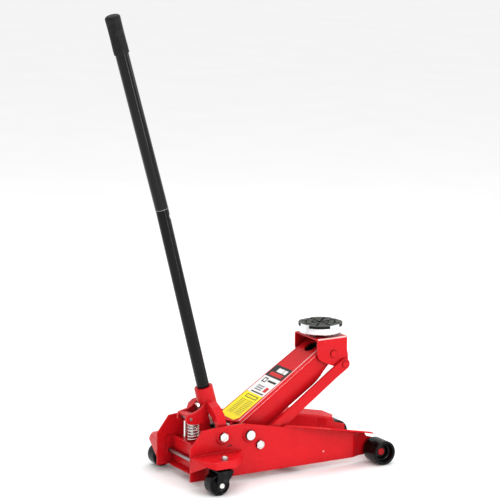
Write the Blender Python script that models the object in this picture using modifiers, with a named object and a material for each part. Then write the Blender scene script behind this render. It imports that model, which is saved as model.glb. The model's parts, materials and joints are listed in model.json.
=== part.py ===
"""Hydraulic trolley jack, raised, with its handle in the socket.

X runs forward to the saddle, Y to the left, Z up from the floor. Lengths are metres.
"""
import math

import bmesh
import bpy
from mathutils import Matrix, Vector

# ---------------------------------------------------------------- driving dimensions
GAP = 0.0003                 # left between pieces that touch

# X is first measured from the rear edge of the side plates.
HANDLE_TOP_REACH = -0.2185   # rearmost point, on the grip
FRONT_REACH = 0.6886         # foremost point, on the front wheels
CENTRE_X = (HANDLE_TOP_REACH + FRONT_REACH) / 2

# side plates
PLATE_Y = 0.107              # outer face of a side plate
PLATE_T = 0.005
PLATE_TOP_Z = 0.1815
PLATE_JOGGLE = 0.011         # step inwards beside the front wheels
FLANGE_W = 0.038
FLANGE_RISE = 0.010
BOSS_H = 0.005
BOSS_R = 0.021

# pivots in the side plates (X, Z)
SOCKET_PIVOT = (0.110, 0.150)
ARM_PIVOT = (0.202, 0.1446)
LINK_OFFSET = (0.037, -0.0357)   # link pivots lie here from the arm's own pivots

# lift arm
ARM_LENGTH = 0.3805
ARM_ANGLE = math.radians(32.19)
ARM_HALF_REAR = 0.0665       # outer half width at the shaft
ARM_HALF_FRONT = 0.0547      # outer half width at the yoke pin
ARM_TOP_REAR = 0.029         # top face above the line through both pins
ARM_TOP_FRONT = 0.0342
ARM_SKIRT = 0.0415           # lower edge below that line
ARM_T = 0.006
ARM_SHAFT_R = 0.0145
ARM_HOLE_R = 0.0235
ARM_HOLE_S = 0.355           # along the arm from its shaft

# saddle yoke and links
YOKE_HALF = 0.0675
YOKE_T = 0.0045
YOKE_TOP_Z = 0.3985
LINK_INNER_TOP = 0.069       # inner face of a link at its upper end
LINK_INNER_LOW = 0.0925       # and at its lower end
LINK_T = 0.0075
LINK_R = 0.017

# saddle
SADDLE_X = 0.5172
SADDLE_R = 0.068
SADDLE_BASE_Z = 0.4065
SADDLE_RIM_Z = 0.4360
PAD_TOP_Z = 0.4358
PAD_R = 0.0632
NOTCH_HALF = math.radians(29)    # half width of each notch in the saddle's rim

# front wheels
FRONT_X = 0.6507
FRONT_R = 0.0379
FRONT_INNER_Y = 0.1029
FRONT_OUTER_Y = 0.1734
AXLE_R = 0.0112

# casters
KINGPIN_X = 0.0765
CASTER_X = 0.050
CASTER_Y = 0.1785
CASTER_R = 0.0336
CASTER_HALF = 0.022
WING_TOP_Z = 0.102
WING_T = 0.0045
FORK_TOP_Z = 0.075
FORK_T = 0.0035

# power unit
RAM_Z = 0.0902
DRIVE_R = 0.058              # radius of the arm's drive pin about its shaft
DRIVE_ANGLE = math.radians(-74.4)
DRIVE_PIN_R = 0.008
CYLINDER_R = 0.0255
BORE_R = 0.0205
RAM_R = 0.0155
CYLINDER_REAR = 0.0780
CYLINDER_FRONT = 0.1505
GLAND_FRONT = 0.1580
RESERVOIR_R = 0.037
HOUSING_REAR = 0.0578
HOUSING_FRONT = 0.098
HOUSING_TOP = 0.118
PLUNGER_X = 0.0685
PLUNGER_R = 0.009
CAP_TOP = 0.1796
CAP_R = 0.0195
SPRING_R = 0.0168            # mean radius of the pump spring
SPRING_WIRE = 0.0018         # radius of its wire
SPRING_COILS = 6
ROLLER_AT = (0.066, 0.192)
ROLLER_R = 0.012
NOSE_AT = (0.044, 0.194)

# handle
LOWER_TILT = math.radians(14.11)
UPPER_TILT = math.radians(15.49)
JOINT_AT = (-0.0351, 0.833)      # where the two handle tubes meet
LOWER_R = 0.01935
UPPER_R = 0.0199
TUBE_WALL = 0.0018
GRIP_R = 0.0234
GRIP_LENGTH = 0.117
UPPER_LENGTH = 0.598
SOCKET_R = 0.0285

ROUND = 26                   # sides of a large round piece
SMALL_ROUND = 16


# ---------------------------------------------------------------- collections and materials
def clear_scene():
    for old in list(bpy.data.objects):
        bpy.data.objects.remove(old, do_unlink=True)


def new_collection(name, hidden=False):
    collection = bpy.data.collections.new(name)
    bpy.context.scene.collection.children.link(collection)
    collection.hide_render = hidden
    return collection


clear_scene()
PARTS = new_collection("trolley_jack")
CUTTERS = new_collection("trolley_jack_cutters", hidden=True)


def principled(name, colour, roughness, metallic=0.0):
    made = bpy.data.materials.new(name)
    made.use_nodes = True
    shader = made.node_tree.nodes["Principled BSDF"]
    shader.inputs["Base Color"].default_value = (*colour, 1.0)
    shader.inputs["Roughness"].default_value = roughness
    shader.inputs["Metallic"].default_value = metallic
    return made


RED = principled("red_paint", (0.62, 0.02, 0.02), 0.35)
ZINC = principled("zinc_plate", (0.78, 0.78, 0.76), 0.3, 1.0)
STEEL = principled("bare_steel", (0.45, 0.45, 0.44), 0.35, 1.0)
BLACK_SATIN = principled("black_satin", (0.03, 0.03, 0.03), 0.45)
BLACK_GLOSS = principled("black_gloss", (0.015, 0.015, 0.015), 0.2)
RUBBER = principled("rubber", (0.03, 0.03, 0.03), 0.75)
WHEEL_BLACK = principled("wheel_black", (0.02, 0.02, 0.02), 0.5)
FORK_GREY = principled("fork_grey", (0.06, 0.06, 0.06), 0.5)
BRONZE = principled("bronze", (0.55, 0.38, 0.18), 0.4, 1.0)


# ---------------------------------------------------------------- general helpers
def at(x, y, z):
    """A point given by its distance ahead of the side plates' rear edge."""
    return Vector((x - CENTRE_X, y, z))


def side_name(side):
    return "left" if side > 0 else "right"


def make_object(name, mesh, collection=None):
    made = bpy.data.objects.new(name, mesh)
    (collection or PARTS).objects.link(made)
    return made


def finish(piece, material, smooth_angle=35):
    piece.data.materials.clear()
    piece.data.materials.append(material)
    piece.data.shade_smooth()
    piece.data.set_sharp_from_angle(angle=math.radians(smooth_angle))
    return piece


def bake(piece):
    """Apply an object's modifiers, so that it can be cut or joined."""
    bpy.context.view_layer.update()
    graph = bpy.context.evaluated_depsgraph_get()
    solid = bpy.data.meshes.new_from_object(piece.evaluated_get(graph))
    piece.modifiers.clear()
    piece.data = solid
    return piece


def boolean(piece, other, operation):
    step = piece.modifiers.new(operation.lower(), "BOOLEAN")
    step.operation = operation
    step.solver = "EXACT"
    step.object = other
    bake(piece)
    bpy.data.objects.remove(other, do_unlink=True)
    return piece


def cut(piece, *cutters):
    for cutter in cutters:
        boolean(piece, cutter, "DIFFERENCE")
    return piece


def join(piece, *others):
    for other in others:
        boolean(piece, other, "UNION")
    return piece


def frame_along(direction):
    """A rotation whose Z axis is the direction."""
    return Vector((0, 0, 1)).rotation_difference(Vector(direction).normalized()).to_matrix().to_4x4()


def rod(name, start, end, radius, sides=SMALL_ROUND, collection=None):
    """A plain cylinder between two points."""
    start = Vector(start)
    end = Vector(end)
    body = bmesh.new()
    bmesh.ops.create_cone(body, cap_ends=True, segments=sides, radius1=radius, radius2=radius,
                          depth=(end - start).length)
    bmesh.ops.transform(body, verts=body.verts,
                        matrix=Matrix.Translation((start + end) / 2) @ frame_along(end - start))
    mesh = bpy.data.meshes.new(name)
    body.to_mesh(mesh)
    body.free()
    return make_object(name, mesh, collection)


def box(name, low, high, collection=None):
    low = Vector(low)
    high = Vector(high)
    body = bmesh.new()
    bmesh.ops.create_cube(body, size=1.0)
    bmesh.ops.scale(body, vec=high - low, verts=body.verts)
    bmesh.ops.translate(body, vec=(low + high) / 2, verts=body.verts)
    mesh = bpy.data.meshes.new(name)
    body.to_mesh(mesh)
    body.free()
    return make_object(name, mesh, collection)


def turned(name, profile, origin, direction, sides=ROUND, collection=None):
    """A solid or ring of revolution. The profile holds (radius, height), top to bottom outside."""
    body = bmesh.new()
    corners = [body.verts.new((radius, 0.0, height)) for radius, height in profile]
    for first, second in zip(corners, corners[1:]):
        body.edges.new((first, second))
    if profile[0][0] > 0:
        body.edges.new((corners[-1], corners[0]))
    mesh = bpy.data.meshes.new(name)
    body.to_mesh(mesh)
    body.free()
    piece = make_object(name, mesh, collection)
    spin = piece.modifiers.new("turn", "SCREW")
    spin.steps = sides
    spin.render_steps = sides
    spin.use_merge_vertices = True
    spin.merge_threshold = 0.00001
    bake(piece)
    flip(piece)
    piece.data.transform(Matrix.Translation(Vector(origin)) @ frame_along(direction))
    return piece


def flat_outline(name, points, thickness, matrix, collection=None):
    """A plate of the given outline, centred on its own plane."""
    curve = bpy.data.curves.new(name, "CURVE")
    curve.dimensions = "2D"
    curve.fill_mode = "BOTH"
    curve.extrude = thickness / 2
    spline = curve.splines.new("POLY")
    spline.points.add(len(points) - 1)
    for point, (across, up) in zip(spline.points, points):
        point.co = (across, up, 0.0, 1.0)
    spline.use_cyclic_u = True
    drawn = make_object(name + "_outline", curve, collection)
    bpy.context.view_layer.update()
    graph = bpy.context.evaluated_depsgraph_get()
    mesh = bpy.data.meshes.new_from_object(drawn.evaluated_get(graph))
    bpy.data.objects.remove(drawn, do_unlink=True)
    body = bmesh.new()
    body.from_mesh(mesh)
    bmesh.ops.remove_doubles(body, verts=body.verts, dist=0.00001)
    bmesh.ops.recalc_face_normals(body, faces=body.faces)
    body.to_mesh(mesh)
    body.free()
    mesh.transform(matrix)
    return make_object(name, mesh, collection)


def upright(y):
    """Places an outline drawn in X and Z on a plane of constant Y."""
    return Matrix.Translation((-CENTRE_X, y, 0)) @ Matrix.Rotation(math.radians(90), 4, "X")


def arc(centre, radius, start, end, steps):
    """Points on an arc, angles in degrees."""
    points = []
    for index in range(steps + 1):
        angle = math.radians(start + (end - start) * index / steps)
        points.append((centre[0] + radius * math.cos(angle), centre[1] + radius * math.sin(angle)))
    return points


def sector(name, centre, turn, half, reach, heights):
    """A block of a ring's section, used for the saddle's notches and the lobes that fill them."""
    points = []
    for index in range(7):
        angle = turn - half + 2 * half * index / 6
        points.append((reach[1] * math.cos(angle), reach[1] * math.sin(angle)))
    for index in range(7):
        angle = turn + half - 2 * half * index / 6
        points.append((reach[0] * math.cos(angle), reach[0] * math.sin(angle)))
    middle = Vector((centre.x, centre.y, (heights[0] + heights[1]) / 2))
    return flat_outline(name, points, heights[1] - heights[0], Matrix.Translation(middle), CUTTERS)


def hexagon(name, centre, across_flats, bottom, top, direction=(0, 0, 1)):
    """A hexagonal prism along a direction, from bottom to top."""
    body = bmesh.new()
    radius = across_flats / math.sqrt(3)
    bmesh.ops.create_cone(body, cap_ends=True, segments=6, radius1=radius, radius2=radius,
                          depth=top - bottom)
    bmesh.ops.translate(body, vec=(0, 0, (top + bottom) / 2), verts=body.verts)
    bmesh.ops.transform(body, verts=body.verts,
                        matrix=Matrix.Translation(Vector(centre)) @ frame_along(direction))
    mesh = bpy.data.meshes.new(name)
    body.to_mesh(mesh)
    body.free()
    return make_object(name, mesh)


def sheet(name, faces, thickness, fold_radius, fold_limit=12, mirror=False, fold_steps=2):
    """Folded sheet metal: the outer surface as flat faces, folds rounded, then thickened inwards."""
    body = bmesh.new()
    known = {}
    for face in faces:
        corners = []
        for point in face:
            key = tuple(round(value, 6) for value in point)
            if key not in known:
                known[key] = body.verts.new(point)
            corners.append(known[key])
        body.faces.new(corners)
    mesh = bpy.data.meshes.new(name)
    body.to_mesh(mesh)
    body.free()
    piece = make_object(name, mesh)
    if mirror:
        half = piece.modifiers.new("mirror", "MIRROR")
        half.use_axis = (False, True, False)
        half.merge_threshold = 0.00001
    fold = piece.modifiers.new("folds", "BEVEL")
    fold.width = fold_radius
    fold.segments = fold_steps
    fold.limit_method = "ANGLE"
    fold.angle_limit = math.radians(fold_limit)
    thick = piece.modifiers.new("thickness", "SOLIDIFY")
    thick.thickness = thickness
    thick.offset = -1.0
    thick.use_even_offset = True
    return bake(piece)


def flip(piece):
    """Turn a mesh's faces outwards."""
    body = bmesh.new()
    body.from_mesh(piece.data)
    bmesh.ops.recalc_face_normals(body, faces=body.faces)
    body.to_mesh(piece.data)
    body.free()
    return piece


def mirrored(piece, name):
    """A copy of a piece on the other side of the jack."""
    copy = make_object(name, piece.data.copy())
    copy.data.transform(Matrix.Scale(-1, 4, (0, 1, 0)))
    return flip(copy)


# ---------------------------------------------------------------- pivots worked out from the dimensions
def along_arm(s, t):
    """A point on the arm's side, s along it from the shaft and t above the line of its pins."""
    x = ARM_PIVOT[0] + s * math.cos(ARM_ANGLE) - t * math.sin(ARM_ANGLE)
    z = ARM_PIVOT[1] + s * math.sin(ARM_ANGLE) + t * math.cos(ARM_ANGLE)
    return x, z


YOKE_PIVOT = along_arm(ARM_LENGTH, 0.0)
LINK_LOW = (ARM_PIVOT[0] + LINK_OFFSET[0], ARM_PIVOT[1] + LINK_OFFSET[1])
LINK_TOP = (YOKE_PIVOT[0] + LINK_OFFSET[0], YOKE_PIVOT[1] + LINK_OFFSET[1])
DRIVE_PIN = (ARM_PIVOT[0] + DRIVE_R * math.cos(DRIVE_ANGLE),
             ARM_PIVOT[1] + DRIVE_R * math.sin(DRIVE_ANGLE))


def arm_half(s):
    return ARM_HALF_REAR + (ARM_HALF_FRONT - ARM_HALF_REAR) * s / ARM_LENGTH


def arm_top(s):
    return ARM_TOP_REAR + (ARM_TOP_FRONT - ARM_TOP_REAR) * s / ARM_LENGTH


# ---------------------------------------------------------------- chassis
def top_line(x):
    """Height of the sloping upper edge of a side plate."""
    return 0.156 - 0.2148 * (x - 0.31)


def side_plates():
    front = PLATE_Y - PLATE_JOGGLE
    edge = PLATE_Y + FLANGE_W
    slope = [0.325, 0.470, 0.575, 0.600, 0.622]
    top = [(0.041, 0.177), (0.100, 0.181), (0.165, PLATE_TOP_Z), (0.186, 0.1805)]
    top += [(x, top_line(x)) for x in slope]
    web = [(x, PLATE_Y, z) for x, z in top[:7] + [(0.575, 0.0197), (0.0, 0.0240), (0.0, 0.124)]]
    step = [(0.575, PLATE_Y, top[6][1]), (0.600, front, top[7][1]), (0.600, front, 0.0196),
            (0.575, PLATE_Y, 0.0197)]
    nose = [(0.631, 0.0775), (0.668, 0.0670), (0.668, 0.0330), (0.655, 0.0215), (0.600, 0.0196)]
    tab = [(x, front, z) for x, z in top[7:] + nose]
    inner = [(x, PLATE_Y if x < 0.6 else front, top_line(x)) for x in slope]
    outer = [(x, edge, top_line(x) + FLANGE_RISE) for x in slope]
    outer[-1] = (0.615, edge, top_line(0.615) + FLANGE_RISE)
    tip = (0.640, 0.120, top_line(0.640) + FLANGE_RISE * 0.35)
    flange = [(inner[0], outer[1], inner[1])]
    for index in range(1, len(slope) - 1):
        flange.append((inner[index], outer[index], outer[index + 1], inner[index + 1]))
    flange.append((inner[-1], outer[-1], tip))
    shifted = [[at(*point) for point in face] for face in [web, step, tab] + flange]
    left = sheet("side_plate_left", shifted, PLATE_T, 0.003, fold_limit=14)
    for centre in (SOCKET_PIVOT, ARM_PIVOT):
        boss = turned("boss", [(0, BOSS_H), (BOSS_R, BOSS_H), (BOSS_R + 0.005, -0.002), (0, -0.002)],
                      at(centre[0], PLATE_Y, centre[1]), (0, 1, 0), sides=28, collection=CUTTERS)
        join(left, boss)
    holes = [(SOCKET_PIVOT, 0.0103), (ARM_PIVOT, ARM_SHAFT_R + GAP), (LINK_LOW, 0.0093),
             ((FRONT_X, FRONT_R), AXLE_R + GAP)]
    for (x, z), radius in holes:
        cut(left, rod("hole", at(x, 0.08, z), at(x, 0.13, z), radius, collection=CUTTERS))
    cut(left, box("slot", at(0.126, 0.09, 0.1175), at(0.142, 0.13, 0.1215), CUTTERS))
    finish(left, RED)
    finish(mirrored(left, "side_plate_right"), RED)


def caster_wings():
    y0 = PLATE_Y + GAP
    lip = WING_TOP_Z - 0.021
    top = [(0.002, y0, WING_TOP_Z), (0.018, 0.180, WING_TOP_Z), (0.036, 0.2005, WING_TOP_Z),
           (0.100, 0.2015, WING_TOP_Z), (0.122, 0.182, WING_TOP_Z), (0.176, y0, WING_TOP_Z)]
    low = [(-0.001, y0, 0.052), (0.013, 0.182, 0.088), (0.034, 0.2035, lip),
           (0.102, 0.2045, lip), (0.125, 0.184, lip), (0.181, y0, lip - 0.006)]
    faces = [list(reversed(top))]
    for index in range(len(top) - 1):
        faces.append([top[index], top[index + 1], low[index + 1], low[index]])
    shifted = [[at(*point) for point in face] for face in faces]
    left = sheet("caster_wing_left", shifted, WING_T, 0.0035, fold_limit=20)
    cut(left, rod("hole", at(KINGPIN_X, CASTER_Y, 0.08), at(KINGPIN_X, CASTER_Y, 0.12), 0.0064,
                  collection=CUTTERS))
    cut(left, box("trim", at(-0.05, 0.05, 0.0), at(0.3, y0, 0.2), CUTTERS))
    finish(left, RED)
    finish(mirrored(left, "caster_wing_right"), RED)


def cross_members():
    inner = PLATE_Y - PLATE_T - GAP
    rear = 0.0572
    high = 0.1138
    low = 0.032
    foot = rear - 0.020
    faces = [[(rear, 0, high), (rear, inner, high), (rear, inner, low), (rear, 0, low)],
             [(rear, inner, high), (rear - 0.027, inner, high), (rear - 0.027, inner, low),
              (rear, inner, low)],
             [(rear, 0, low), (rear, inner, low), (foot, inner - 0.012, low - 0.008),
              (foot, 0, low - 0.008)]]
    shifted = [[at(*point) for point in reversed(face)] for face in faces]
    panel = sheet("rear_cross_panel", shifted, 0.0045, 0.003, fold_limit=20, mirror=True)
    cut(panel, rod("hole", at(0.043, -0.12, 0.0675), at(0.043, 0.12, 0.0675), 0.0078,
                   collection=CUTTERS))
    finish(panel, RED)
    bar = rod("rear_tie_rod", at(0.043, -inner, 0.0675), at(0.043, inner, 0.0675), 0.0055)
    finish(bar, STEEL)
    strip = box("front_cross_member", at(0.350, -inner, 0.0225), at(0.398, inner, 0.0285))
    finish(strip, RED)


# ---------------------------------------------------------------- rolling gear
def front_wheels():
    collar = 0.0165
    axle = turned("front_axle",
                  [(0, 0.1495), (0.0105, 0.1495), (AXLE_R, 0.1488), (AXLE_R, 0.1468), (collar, 0.1468),
                   (collar, 0.1443), (AXLE_R, 0.1443), (AXLE_R, -0.1443), (collar, -0.1443),
                   (collar, -0.1468), (AXLE_R, -0.1468), (AXLE_R, -0.1488), (0.0105, -0.1495),
                   (0, -0.1495)], at(FRONT_X, 0, FRONT_R), (0, 1, 0), sides=24)
    finish(axle, RED)
    bore = AXLE_R + GAP
    profile = [(bore, 0.1440), (0.0185, 0.1440), (0.0198, 0.1455), (0.0215, 0.1545), (0.0262, 0.1560),
               (0.0285, 0.1700), (0.0310, 0.1728), (0.0335, FRONT_OUTER_Y), (0.0362, 0.1722),
               (FRONT_R, 0.1692), (FRONT_R, 0.1071), (0.0362, 0.1041), (0.0335, FRONT_INNER_Y),
               (bore, FRONT_INNER_Y)]
    for side in (1, -1):
        centre = at(FRONT_X, 0, FRONT_R)
        wheel = turned("front_wheel_" + side_name(side), profile, centre, (0, side, 0), sides=32)
        finish(wheel, WHEEL_BLACK)


def caster(side):
    name = side_name(side)
    middle = CASTER_Y * side
    axle_y = 0.0255
    wheel = turned("caster_wheel_" + name,
                   [(0.0064, 0.0225), (0.0130, 0.0225), (0.0150, 0.0195), (0.0240, 0.0180),
                    (0.0262, 0.0205), (0.0290, CASTER_HALF), (0.0318, 0.0208), (CASTER_R, 0.0170),
                    (CASTER_R, -0.0170), (0.0318, -0.0208), (0.0290, -CASTER_HALF),
                    (0.0262, -0.0205), (0.0240, -0.0180), (0.0150, -0.0195), (0.0130, -0.0225),
                    (0.0064, -0.0225)],
                   at(CASTER_X, middle, CASTER_R), (0, 1, 0), sides=24)
    finish(wheel, WHEEL_BLACK)
    low = arc((CASTER_X, CASTER_R), 0.0165, 200, 350, 9)
    cheek = [(0.0395, FORK_TOP_Z)] + low + [(0.0840, 0.0560), (0.0905, 0.0660), (0.0910, FORK_TOP_Z)]
    fork = flat_outline("caster_fork_" + name, cheek, FORK_T, upright(middle + axle_y + FORK_T / 2))
    other = flat_outline("cheek", cheek, FORK_T, upright(middle - axle_y - FORK_T / 2), CUTTERS)
    crown = box("crown", at(0.0395, middle - axle_y - FORK_T, FORK_TOP_Z - FORK_T),
                at(0.0910, middle + axle_y + FORK_T, FORK_TOP_Z), CUTTERS)
    join(fork, crown, other)
    cut(fork, rod("hole", at(KINGPIN_X, middle, 0.06), at(KINGPIN_X, middle, 0.09), 0.0063,
                  collection=CUTTERS),
        rod("hole", at(CASTER_X, middle - 0.04, CASTER_R), at(CASTER_X, middle + 0.04, CASTER_R), 0.0064,
            collection=CUTTERS))
    finish(fork, FORK_GREY)
    bolt = turned("caster_axle_" + name,
                  [(0, 0.0350), (0.0072, 0.0350), (0.0084, 0.0338), (0.0084, 0.0293), (0.0061, 0.0293),
                   (0.0061, -0.0293), (0.0084, -0.0293), (0.0084, -0.0330), (0, -0.0330)],
                  at(CASTER_X, middle, CASTER_R), (0, side, 0), sides=SMALL_ROUND)
    finish(bolt, ZINC)
    bearing = turned("caster_bearing_" + name,
                     [(0.0064, 0.0972), (0.0155, 0.0972), (0.0168, 0.0955), (0.0168, 0.0890),
                      (0.0150, 0.0876), (0.0150, 0.0862), (0.0172, 0.0848), (0.0172, 0.0770),
                      (0.0158, 0.0753), (0.0064, 0.0753)],
                     at(KINGPIN_X, middle, 0), (0, 0, 1), sides=24)
    finish(bearing, FORK_GREY)
    pin = turned("kingpin_" + name,
                 [(0, 0.1135), (0.0052, 0.1135), (0.0060, 0.1127), (0.0060, 0.0712), (0.0100, 0.0712),
                  (0.0100, 0.0660), (0, 0.0660)], at(KINGPIN_X, middle, 0), (0, 0, 1), sides=SMALL_ROUND)
    finish(pin, ZINC)
    nut = hexagon("kingpin_nut_" + name, at(KINGPIN_X, middle, 0), 0.019, WING_TOP_Z + GAP, 0.1115)
    cut(nut, rod("hole", at(KINGPIN_X, middle, 0.09), at(KINGPIN_X, middle, 0.12), 0.0063,
                 collection=CUTTERS))
    finish(nut, ZINC)


# ---------------------------------------------------------------- lifting linkage
def lift_arm():
    rear = 0.012
    front = 0.375
    top = [(-0.004, 0.0), (0.001, 0.030), (rear, arm_half(rear)), (front, arm_half(front)),
           (front + 0.004, 0.040), (front + 0.005, 0.0)]
    rim = [(0.392, 0.025), (0.402, 0.010), (0.402, -0.007), (0.394, -0.018), (0.380, -0.0235),
           (0.351, -0.0245), (0.3285, -0.030), (0.3115, -0.0357), (0.292, -0.0400), (0.270, -ARM_SKIRT),
           (0.060, -ARM_SKIRT), (0.020, -0.040), (-0.004, -0.034), (-0.022, -0.020), (-0.028, -0.002),
           (-0.022, 0.014), (-0.008, 0.025)]
    faces = [[(s, y, arm_top(s)) for s, y in top],
             [(s, arm_half(s), t) for s, t in
              [(front, arm_top(front)), (rear, arm_top(rear))] + list(reversed(rim))]]
    placed = []
    for face in faces:
        spots = []
        for s, y, t in face:
            x, z = along_arm(s, t)
            spots.append(at(x, y, z))
        placed.append(spots)
    placed[0].reverse()
    placed[1].reverse()
    arm = sheet("lift_arm", placed, ARM_T, 0.007, mirror=True, fold_steps=3)
    shape = arc((0, 0), 0.023, 150, 195, 3)
    drive = (DRIVE_R * math.cos(DRIVE_ANGLE - ARM_ANGLE), DRIVE_R * math.sin(DRIVE_ANGLE - ARM_ANGLE))
    shape += arc(drive, 0.0135, 165, 345, 8)
    shape += arc((0, 0), 0.023, -15, 20, 3) + [(0.030, 0.0262), (-0.004, 0.0262)]
    outline = [along_arm(s, t) for s, t in shape]
    for side in (1, -1):
        join(arm, flat_outline("lug", outline, 0.009, upright(0.0255 * side), CUTTERS))
    x, z = ARM_PIVOT
    cut(arm, rod("bore", at(x, -0.1, z), at(x, 0.1, z), ARM_SHAFT_R + GAP, 28, CUTTERS))
    x, z = YOKE_PIVOT
    cut(arm, rod("bore", at(x, -0.1, z), at(x, 0.1, z), 0.0113, 24, CUTTERS))
    x, z = DRIVE_PIN
    cut(arm, rod("bore", at(x, -0.05, z), at(x, 0.05, z), DRIVE_PIN_R + GAP, 20, CUTTERS))
    low = along_arm(ARM_HOLE_S, 0.010)
    high = along_arm(ARM_HOLE_S, 0.060)
    cut(arm, rod("bore", at(low[0], 0, low[1]), at(high[0], 0, high[1]), ARM_HOLE_R, 32, CUTTERS))
    finish(arm, RED)
    x, z = ARM_PIVOT
    shaft = rod("lift_arm_shaft", at(x, -0.1195, z), at(x, 0.1195, z), ARM_SHAFT_R, 32)
    for side in (1, -1):
        for turn in (90, 210, 330):
            dx = 0.0085 * math.cos(math.radians(turn))
            dz = 0.0085 * math.sin(math.radians(turn))
            cut(shaft, rod("punch", at(x + dx, 0.1180 * side, z + dz), at(x + dx, 0.1210 * side, z + dz),
                           0.0017, 8, CUTTERS))
    finish(shaft, ZINC)
    x, z = DRIVE_PIN
    finish(rod("arm_drive_pin", at(x, -0.0325, z), at(x, 0.0325, z), DRIVE_PIN_R, 24), STEEL)


def saddle_yoke():
    cx, cz = LINK_TOP
    near = [(0.466, YOKE_TOP_Z), (0.466, 0.3487), (0.4713, 0.3361), (0.482, 0.3275), (0.510, 0.3140)]
    near += arc((cx, cz), LINK_R, 228, 362, 8)
    near += [(0.5765, 0.3400), (0.573, 0.3560), (0.573, YOKE_TOP_Z)]
    ear = [(x, YOKE_HALF, z) for x, z in near]
    top = [(0.466, 0, YOKE_TOP_Z), (0.573, 0, YOKE_TOP_Z), (0.573, YOKE_HALF, YOKE_TOP_Z),
           (0.466, YOKE_HALF, YOKE_TOP_Z)]
    faces = [top, list(reversed(ear))]
    shifted = [[at(*point) for point in face] for face in faces]
    yoke = sheet("saddle_yoke", shifted, YOKE_T, 0.008, mirror=True, fold_steps=3)
    for (x, z), radius in ((YOKE_PIVOT, 0.0113), (LINK_TOP, 0.0103)):
        cut(yoke, rod("bore", at(x, -0.1, z), at(x, 0.1, z), radius, 24, CUTTERS))
    cut(yoke, rod("bore", at(SADDLE_X, 0, 0.38), at(SADDLE_X, 0, 0.41), 0.0083, 20, CUTTERS))
    finish(yoke, RED)
    x, z = YOKE_PIVOT
    finish(rod("yoke_pin", at(x, -0.0712, z), at(x, 0.0712, z), 0.011, 24), RED)
    x, z = LINK_TOP
    finish(rod("link_upper_pin", at(x, -0.0795, z), at(x, 0.0795, z), 0.010, 24), RED)


def link_bars():
    run = Vector((LINK_TOP[0] - LINK_LOW[0], 0, LINK_TOP[1] - LINK_LOW[1]))
    lean = math.degrees(math.atan2(run.z, run.x))
    outline = arc(LINK_LOW, LINK_R, lean + 90, lean + 270, 8)
    outline += arc(LINK_TOP, LINK_R, lean - 90, lean + 90, 8)
    for side in (1, -1):
        name = side_name(side)
        bar = flat_outline("link_bar_" + name, outline, LINK_T, upright(0))
        body = bmesh.new()
        body.from_mesh(bar.data)
        start = at(LINK_LOW[0], 0, LINK_LOW[1])
        for share in (0.12, 0.88):
            everything = body.verts[:] + body.edges[:] + body.faces[:]
            bmesh.ops.bisect_plane(body, geom=everything, plane_co=start + run * share,
                                   plane_no=run.normalized())
        for corner in body.verts:
            share = (corner.co - start).dot(run) / run.length_squared
            share = min(1.0, max(0.0, (share - 0.12) / 0.76))
            inner = LINK_INNER_LOW + (LINK_INNER_TOP - LINK_INNER_LOW) * share
            corner.co.y += (inner + LINK_T / 2) * side
        body.to_mesh(bar.data)
        body.free()
        for (x, z), radius in ((LINK_LOW, 0.0093), (LINK_TOP, 0.0103)):
            cut(bar, rod("bore", at(x, 0.05 * side, z), at(x, 0.12 * side, z), radius, 24, CUTTERS))
        finish(bar, RED)
        x, z = LINK_LOW
        stud = turned("link_stud_" + name,
                      [(0, 0.1155), (0.0080, 0.1155), (0.0090, 0.1145), (0.0090, 0.0922),
                       (0.0130, 0.0922), (0.0130, 0.0870), (0, 0.0870)],
                      at(x, 0, z), (0, side, 0), sides=SMALL_ROUND)
        finish(stud, ZINC)
        nut = hexagon("link_nut_" + name, at(x, 0, z), 0.0245, PLATE_Y + GAP, 0.1150, (0, side, 0))
        cut(nut, rod("bore", at(x, 0.1 * side, z), at(x, 0.12 * side, z), 0.0093, 20, CUTTERS))
        finish(nut, ZINC)


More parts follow.
